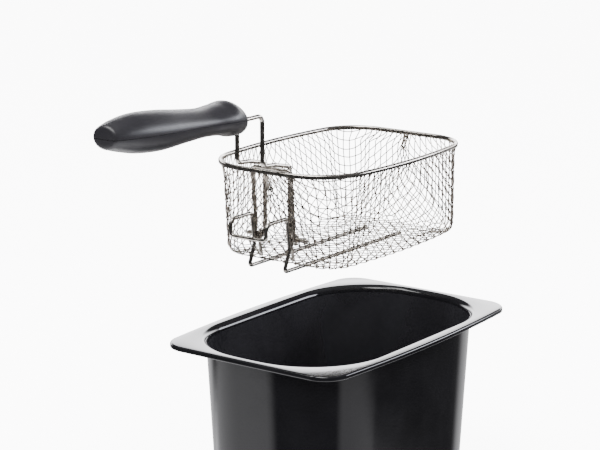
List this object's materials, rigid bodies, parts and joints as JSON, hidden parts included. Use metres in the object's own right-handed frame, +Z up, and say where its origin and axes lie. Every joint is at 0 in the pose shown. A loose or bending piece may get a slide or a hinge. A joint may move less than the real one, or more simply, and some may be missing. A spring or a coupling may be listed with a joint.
{
  "type": "deep fryer basket and oil pot",
  "caption": "Wire frying basket with a drain hook and a swing-over handle, held above its removable black enamelled oil pot.",
  "frame": {"origin": "centre of the flat underside of the oil pot", "axes": "+Z up, -Y towards the handle and the drain hook, X across the pot"},
  "size_m": [0.182, 0.4283, 0.3613],
  "materials": {
    "enamel": "glossy black vitreous enamel",
    "mesh_wire": "bright nickel-plated fine wire",
    "plated_wire": "bright nickel-plated steel wire",
    "grip_plastic": "satin dark grey moulded plastic",
    "screw_steel": "zinc-plated"
  },
  "bodies": {
    "pot": {"oil_pot": "enamel"},
    "basket": {"wire_mesh": "mesh_wire", "rim_strip": "plated_wire", "rim_core_wire": "plated_wire", "drain_hook": "plated_wire", "pivot_bracket": "plated_wire"},
    "handle": {"handle_wire": "plated_wire", "grip_upper": "grip_plastic", "grip_lower": "grip_plastic", "grip_screw_1": "screw_steel", "grip_screw_2": "screw_steel"}
  },
  "joints": [
    {"name": "basket_lift", "type": "slide", "parent": "pot", "child": "basket", "axis": [0, -0.0511, 0.9987], "range_m": [-0.1722, 0.05]},
    {"name": "handle_swing", "type": "hinge", "parent": "basket", "child": "handle", "pos_m": [0, -0.08865, 0.2366], "axis": [-1, 0, 0], "range_deg": [0, 100]}
  ]
}
